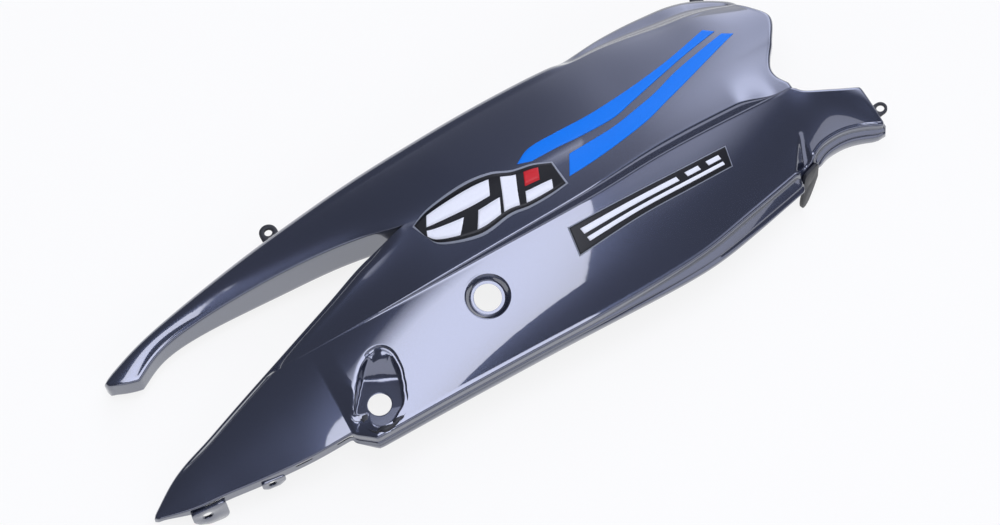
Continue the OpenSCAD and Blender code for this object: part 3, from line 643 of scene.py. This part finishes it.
# Bare injection-moulded ABS on the inner side and the small tabs: dark and matt. The mould's spark grain is
# about 0.1 mm and is drawn 1.4 mm apart (700 to the metre), as a change of gloss.
bare, tree = new_material("bare_dark_abs")
where = add(tree, "ShaderNodeTexCoord")
grain = add(tree, "ShaderNodeTexNoise", [(where.outputs["Object"], "Vector")], Scale=700.0, Detail=3.0)
rough = add(tree, "ShaderNodeMapRange", [(grain.outputs["Fac"], "Value")], To_Min=0.42, To_Max=0.58)
body = add(tree, "ShaderNodeBsdfPrincipled", [(rough.outputs["Result"], "Roughness")])
body.inputs["Base Color"].default_value = linear("#26282d")
add(tree, "ShaderNodeOutputMaterial", [(body.outputs["BSDF"], "Surface")])
shell.data.materials.append(paint)
shell.data.materials.append(bare)

# Tabs and leg
# The panel's fixings: two screw tabs under the tail, the leg at the front, and three small tabs round the far
# side. They are moulded with the shell in the same ABS, 3 mm thick; paint covers the two under the tail.
TAB_T = 3.0
TAIL_HOLE_R, SMALL_HOLE_R = 4.75, 3.5
NO_HOLE_R = 0.02    # a plate without a hole still closes on its centre
AROUND = 96         # points round a plate


def plate(outline, hole, hole_r):
    """Flat plate as a ring grid in its own plane [u, v, w]: from the hole's edge out to the outline on one
    side, over the rounded rim and back on the other; the outline is cut by rays from the hole's centre."""
    turn = np.linspace(0, 2*np.pi, AROUND + 1)[:-1]
    way = np.stack([np.cos(turn), np.sin(turn)], 1)
    o = np.asarray(outline, float) - hole
    a, b = o, np.roll(o, -1, 0)
    cross = way[:, None, 0]*(b - a)[None, :, 1] - way[:, None, 1]*(b - a)[None, :, 0]
    cross = np.where(np.abs(cross) < 1e-9, 1e-9, cross)
    dist = (a[None, :, 0]*(b - a)[None, :, 1] - a[None, :, 1]*(b - a)[None, :, 0])/cross
    where = (a[None, :, 0]*way[:, None, 1] - a[None, :, 1]*way[:, None, 0])/cross
    reach = np.where((where >= -1e-6) & (where <= 1 + 1e-6) & (dist > 0), dist, 1e9).min(1)
    kernel = np.exp(-0.5*(np.arange(-5, 6)/1.6)**2)
    reach = np.convolve(np.pad(reach, 5, mode="wrap"), kernel/kernel.sum(), "valid")
    h, e = TAB_T/2, 0.45
    inner, outer = np.full(AROUND, float(hole_r)), reach
    loop = [(inner, -h + e), (inner, h - e), (inner + e*0.4, h - e*0.3), (inner + e, h), (outer - e, h),
            (outer - e*0.4, h - e*0.3), (outer, h - e), (outer, e - h), (outer - e*0.4, e*0.3 - h),
            (outer - e, -h), (inner + e, -h), (inner + e*0.4, e*0.3 - h), (inner, e - h)]
    points = np.stack([np.column_stack([hole + way*r[:, None], np.full(AROUND, w)]) for r, w in loop], 1)
    ids = np.arange(AROUND*len(loop)).reshape(AROUND, len(loop))
    ids = np.vstack([ids, ids[:1]])
    quads = np.stack([ids[:-1, :-1], ids[1:, :-1], ids[1:, 1:], ids[:-1, 1:]], -1).reshape(-1, 4)
    return points.reshape(-1, 3), quads[:, ::-1]


def stand(part, at_point, turn, tilt=90):
    """Turns a plate about X by tilt and about Z by turn, and moves it to its place."""
    points, quads = part
    a, b = math.radians(tilt), math.radians(turn)
    about_x = np.array([[1, 0, 0], [0, math.cos(a), -math.sin(a)], [0, math.sin(a), math.cos(a)]])
    about_z = np.array([[math.cos(b), -math.sin(b), 0], [math.sin(b), math.cos(b), 0], [0, 0, 1]])
    return points @ (about_z @ about_x).T + at_point, quads


def tongue(length, width):
    """Outline of a tab: a strip with a half-round end."""
    a = np.linspace(0, np.pi, 17)
    end = np.stack([width/2*np.cos(a), length - width/2 + width/2*np.sin(a)], 1)
    return np.concatenate([[[-width/2, 0], [width/2, 0]], end])


# Two under the tail, the leg, then the lower, the upper and the front tab
tabs = [
    stand(plate([[-13, -13], [-13, -27], [-9, -34], [0, -39.5], [15, -39.5], [18, -34], [18, -10]],
                [0, -23], TAIL_HOLE_R), [-316, -60.5, 0], -6),
    stand(plate([[-9, -6], [-9, -15], [-5, -19], [6, -19], [12, -14], [12, -5]],
                [0, -11], SMALL_HOLE_R), [-257, -68, 0], -6),
    stand(plate([[4, 12], [1, -18], [-2, -37], [0, -40], [5, -39], [15, -22], [21, -9], [22, 12]],
                [10, -8], NO_HOLE_R), [leg_x0, -59, 0], 20),
    stand(plate(tongue(20, 16), [0, 12], SMALL_HOLE_R), [-157, 117, 20], 0, 0),
    stand(plate(tongue(17, 12), [0, 11], NO_HOLE_R), [271, 130, 26], -20, -10),
    stand(plate(tongue(17.6, 12), [0, 11.6], SMALL_HOLE_R), [342.3, -39.6, 19.1], -82, 3)]
fixings = meshed("tabs_and_leg", tabs)
fixings.data.materials.append(paint)
fixings.data.materials.append(bare)
per_tab = [len(quads) for _, quads in tabs]
fixings.data.polygons.foreach_set("material_index", np.repeat([0, 0, 1, 1, 1, 1], per_tab))
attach(fixings, "root")

# Vinyl stickers
# Screen-printed vinyl film, 0.3 mm with its clear layer, cut to shape and pressed onto the painted face.
# The two blue stripes are one colour each; the badge and the plate carry plain bars.
VINYL = 0.3


def face_z(x, y):
    """Height of whichever face lies at x, y."""
    return np.where(y < at(top_line, x)[0], seat_z(x, y),
                    np.where((x > apex_x) & (y > at(ridge, x)[0]), far_z(x, y), mid_z(x, y)))


def film(low, high, lift=0.1, s=(0, 1), t=(0, 1), slant=0.0, gap=1.2):
    """Film between two tracks of points [x, y] on the face, as a grid of gap millimetres. s runs along the
    tracks and t across; a bar takes a part of both, and slant moves its far end along."""
    low, high = (np.column_stack([np.arange(len(k)), k]) for k in (low, high))
    n = max(2, int(np.linalg.norm(low[-1, 1:] - low[0, 1:])*(s[1] - s[0])/gap))
    m = max(2, int(np.linalg.norm(low[0, 1:] - high[0, 1:])*(t[1] - t[0])/gap))
    across = np.linspace(*t, m + 1)[None]
    share = np.clip(np.linspace(*s, n + 1)[:, None] + slant*(across - 0.5), 0, 1)
    a, b = knotted(low, share*(len(low) - 1)), knotted(high, share*(len(high) - 1))
    xy = mix(a, b, across[..., None])
    points = np.concatenate([xy, (face_z(*xy.T).T + lift + VINYL)[..., None]], 2)
    ids = np.arange(points.size//3).reshape(points.shape[:2])
    quads = np.stack([ids[:-1, :-1], ids[1:, :-1], ids[1:, 1:], ids[:-1, 1:]], -1)
    return points.reshape(-1, 3), quads.reshape(-1, 4)


def vinyl(name, code):
    """Cast vinyl film: smooth and half glossy. Its print grain, finer than 0.1 mm, is drawn 2 mm apart (500
    to the metre) and changes the colour by a hair."""
    made, tree = new_material(name)
    where = add(tree, "ShaderNodeTexCoord")
    grain = add(tree, "ShaderNodeTexNoise", [(where.outputs["Object"], "Vector")], Scale=500.0, Detail=3.0)
    colour = add(tree, "ShaderNodeMix", [(grain.outputs["Fac"], "Factor")], data_type="RGBA")
    colour.inputs["A"].default_value = linear(code)
    colour.inputs["B"].default_value = tuple(min(1, c*1.08 + 0.002) for c in linear(code)[:3]) + (1,)
    body = add(tree, "ShaderNodeBsdfPrincipled", [(colour.outputs["Result"], "Base Color")],
               Roughness=0.35, Coat_Weight=0.1, Coat_Roughness=0.1)
    body.inputs["Specular IOR Level"].default_value = 0.2
    add(tree, "ShaderNodeOutputMaterial", [(body.outputs["BSDF"], "Surface")])
    return made


def sticker(name, node, layers):
    """One sticker of (material, films) layers; films of all layers make one mesh with a wall of vinyl."""
    parts = [part for _, parts in layers for part in parts]
    piece = meshed(name, parts, touch=1e-7)
    per_layer = [sum(len(q) for _, q in parts) for _, parts in layers]
    piece.data.polygons.foreach_set("material_index", np.repeat(np.arange(len(layers)), per_layer))
    for material, _ in layers:
        piece.data.materials.append(material)
    thick = piece.modifiers.new("vinyl", "SOLIDIFY")
    thick.thickness, thick.offset = VINYL/1000, -1
    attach(piece, "root")
    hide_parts(node)


blue = vinyl("blue_vinyl", "#0078e6")
white_film = vinyl("white_vinyl", "#eceef2")
black_film = vinyl("black_vinyl", "#16171b")
grey_film = vinyl("grey_vinyl", "#8d929c")
red_film = vinyl("red_vinyl", "#c8242c")

# Two stripes, cut along the panel
sticker("stripe_lower_film", "stripe_lower", [(blue, [
    film([[61, 48], [85, 48], [111, 47], [141, 48], [164, 54], [199, 64], [227, 72], [259, 80]],
         [[49, 52], [65, 60], [93, 61], [122, 61], [153, 64], [185, 69], [216, 76], [251, 87]])])])
sticker("stripe_upper_film", "stripe_upper", [(blue, [
    film([[82, 20], [106, 22], [134, 26], [164, 32], [188, 40], [209, 47], [237, 57], [272, 70]],
         [[92, 38], [110, 39], [137, 41], [166, 47], [185, 52], [207, 60], [232, 67], [263, 75]])])])

# Badge: grey border, black ground, five white bars and a red one, each bar as shares (s0, s1, t0, t1)
badge_near = [[-49, 38], [-40, 23], [-8, 11], [22, 14], [40, 12], [60, 12.5], [78, 15]]
badge_far = [[-54, 50], [-35, 57], [0, 61], [24, 58], [42, 50], [60, 46], [76, 39]]
badge_bars = [(0.1, 0.3, 0.14, 0.44), (0.1, 0.44, 0.56, 0.86), (0.37, 0.5, 0.14, 0.44),
              (0.52, 0.64, 0.14, 0.86), (0.7, 0.92, 0.14, 0.4)]
sticker("badge_film", "badge_sticker", [
    (grey_film, [film(badge_near, badge_far)]),
    (black_film, [film(badge_near, badge_far, 0.2, (0.015, 0.985), (0.05, 0.95))]),
    (white_film, [film(badge_near, badge_far, 0.3, (a, b), (c, d), 0.12) for a, b, c, d in badge_bars]),
    (red_film, [film(badge_near, badge_far, 0.3, (0.7, 0.82), (0.52, 0.86), 0.12)])])

# Plate: grey rim, black ground, one long white bar and three short ones
plate_near = [[56, -41], [119, -35], [170, -33], [211, -31]]
plate_far = [[59, -16], [123, -15.5], [170, -15], [214, -14]]
plate_bars = [(0.06, 0.94, 0.24, 0.4), (0.06, 0.62, 0.54, 0.76), (0.68, 0.78, 0.54, 0.76),
              (0.84, 0.94, 0.54, 0.76)]
sticker("plate_film", "plate_sticker", [
    (grey_film, [film(plate_near, plate_far)]),
    (black_film, [film(plate_near, plate_far, 0.2, (0.006, 0.994), (0.04, 0.96))]),
    (white_film, [film(plate_near, plate_far, 0.3, (a, b), (c, d), -0.04) for a, b, c, d in plate_bars])])

# Floor
# A sheet of white card under the panel. It shows white to the camera and to the paint's mirror, and keeps
# enough of its own shading for the panel's shadow.
mesh = bpy.data.meshes.new("floor")
floor_z = float(cad_box[0][2])
mesh.from_pydata([(x, y, floor_z) for x, y in ((-3, -3), (3, -3), (3, 3), (-3, 3))], [], [(0, 1, 2, 3)])
floor = bpy.data.objects.new("floor", mesh)
bpy.context.scene.collection.objects.link(floor)
white, tree = new_material("white_card")
body = add(tree, "ShaderNodeBsdfPrincipled", Roughness=0.7)
body.inputs["Base Color"].default_value = linear("#f2f2f2")
ray = add(tree, "ShaderNodeLightPath")
power = add(tree, "ShaderNodeMapRange", [(ray.outputs["Is Camera Ray"], "Value")], To_Min=1.2, To_Max=1.0)
glow = add(tree, "ShaderNodeEmission", [(power.outputs["Result"], "Strength")])
seen = add(tree, "ShaderNodeMath",
           [(ray.outputs["Is Camera Ray"], 0), (ray.outputs["Is Glossy Ray"], 1)], operation="MAXIMUM")
mostly = add(tree, "ShaderNodeMath", [(seen.outputs["Value"], 0)], operation="MULTIPLY")
mostly.inputs[1].default_value = 0.85
pick = add(tree, "ShaderNodeMixShader",
           [(mostly.outputs["Value"], 0), (body.outputs["BSDF"], 1), (glow.outputs["Emission"], 2)])
add(tree, "ShaderNodeOutputMaterial", [(pick.outputs["Shader"], "Surface")])
mesh.materials.append(white)

# Studio room
# Plain white behind the panel for the camera. The light that the room gives is dim to the left and the near
# side, grows to the right, and falls again at the far right end, as in a light tent open on two sides.
world = bpy.data.worlds.new("studio")
bpy.context.scene.world = world
world.use_nodes = True
tree = world.node_tree
tree.nodes.clear()
sky = add(tree, "ShaderNodeTexCoord")
parts = add(tree, "ShaderNodeSeparateXYZ", [(sky.outputs["Generated"], "Vector")])
right = add(tree, "ShaderNodeMapRange", [(parts.outputs["X"], "Value")], From_Min=0.02, From_Max=0.55)
curved = add(tree, "ShaderNodeMath", [(right.outputs["Result"], 0)], operation="POWER")
curved.inputs[1].default_value = 2.0
rear = add(tree, "ShaderNodeMapRange", [(parts.outputs["Y"], "Value")], interpolation_type="SMOOTHSTEP",
           From_Min=-0.25, From_Max=0.15)
end = add(tree, "ShaderNodeMapRange", [(parts.outputs["X"], "Value")], interpolation_type="SMOOTHSTEP",
          From_Min=0.6, From_Max=0.85, To_Min=1.0, To_Max=0.15)
band = add(tree, "ShaderNodeMath",
           [(curved.outputs["Value"], 0), (end.outputs["Result"], 1)], operation="MULTIPLY")
both = add(tree, "ShaderNodeMath",
           [(band.outputs["Value"], 0), (rear.outputs["Result"], 1)], operation="MULTIPLY")
level = add(tree, "ShaderNodeMapRange", [(both.outputs["Value"], "Value")], To_Min=0.18, To_Max=4.2)
soft = add(tree, "ShaderNodeBackground", [(level.outputs["Result"], "Strength")])
soft.inputs["Color"].default_value = linear("#dde0f2")
plain = add(tree, "ShaderNodeBackground", Strength=1.0)
plain.inputs["Color"].default_value = linear("#ffffff")
seen = add(tree, "ShaderNodeLightPath")
pick = add(tree, "ShaderNodeMixShader", [(seen.outputs["Is Camera Ray"], 0), (soft.outputs["Background"], 1),
                                         (plain.outputs["Background"], 2)])
add(tree, "ShaderNodeOutputWorld", [(pick.outputs["Shader"], "Surface")])


# Lamps
# A large soft box overhead, whose mirror image is the bright patch round the lock, and a wide panel in front.
# The overhead box is even but for its far FADE_DEPTH metres, where it fades to nothing.
BOX_W, BOX_H, FADE_DEPTH = 1.04, 1.54, 0.42


def softbox(name, place, aim, width, height, power):
    """Rectangular soft lamp at place, facing aim."""
    lamp = bpy.data.lights.new(name, "AREA")
    lamp.shape, lamp.size, lamp.size_y, lamp.energy = "RECTANGLE", width, height, power
    lamp.color = linear("#eef0ff")[:3]
    holder = bpy.data.objects.new(name, lamp)
    holder.location = place
    facing = mathutils.Vector(aim) - mathutils.Vector(place)
    holder.rotation_euler = facing.to_track_quat("-Z", "Y").to_euler()
    bpy.context.scene.collection.objects.link(holder)
    return lamp


overhead = softbox("overhead", (-0.02, 0.11, 2.0), (-0.02, 0.11, 0), BOX_W, BOX_H, 21.7)
overhead.use_nodes = True
tree = overhead.node_tree
spot = add(tree, "ShaderNodeNewGeometry")
side = add(tree, "ShaderNodeSeparateXYZ", [(spot.outputs["Parametric"], "Vector")])
fade = add(tree, "ShaderNodeMapRange", [(side.outputs["Y"], "Value")])
fade.inputs["From Min"].default_value, fade.inputs["From Max"].default_value = 1.0, 1 - FADE_DEPTH/BOX_H
tree.links.new(fade.outputs["Result"], tree.nodes["Emission"].inputs["Strength"])
softbox("front_panel", (0.0, -2.0, 1.5), (0.0, 0.0, 1.5), 4.0, 2.0, 30)

# Camera
# A long lens from above the seat side, at the photograph's angle and framing.
camera_data = bpy.data.cameras.new("camera")
camera_data.lens, camera_data.sensor_width = 110.4, 36
camera = bpy.data.objects.new("camera", camera_data)
bpy.context.scene.collection.objects.link(camera)
aim = mathutils.Vector((0.02764, 0.02875, -0.0195))
az, el, distance = math.radians(-29), math.radians(70), 2.6
back = mathutils.Vector((math.sin(az)*math.cos(el), -math.cos(az)*math.cos(el), math.sin(el)))
camera.location = aim + back*distance
camera.rotation_euler = back.to_track_quat("Z", "Y").to_euler()
bpy.context.scene.camera = camera
bpy.context.scene.view_settings.view_transform = "Standard"
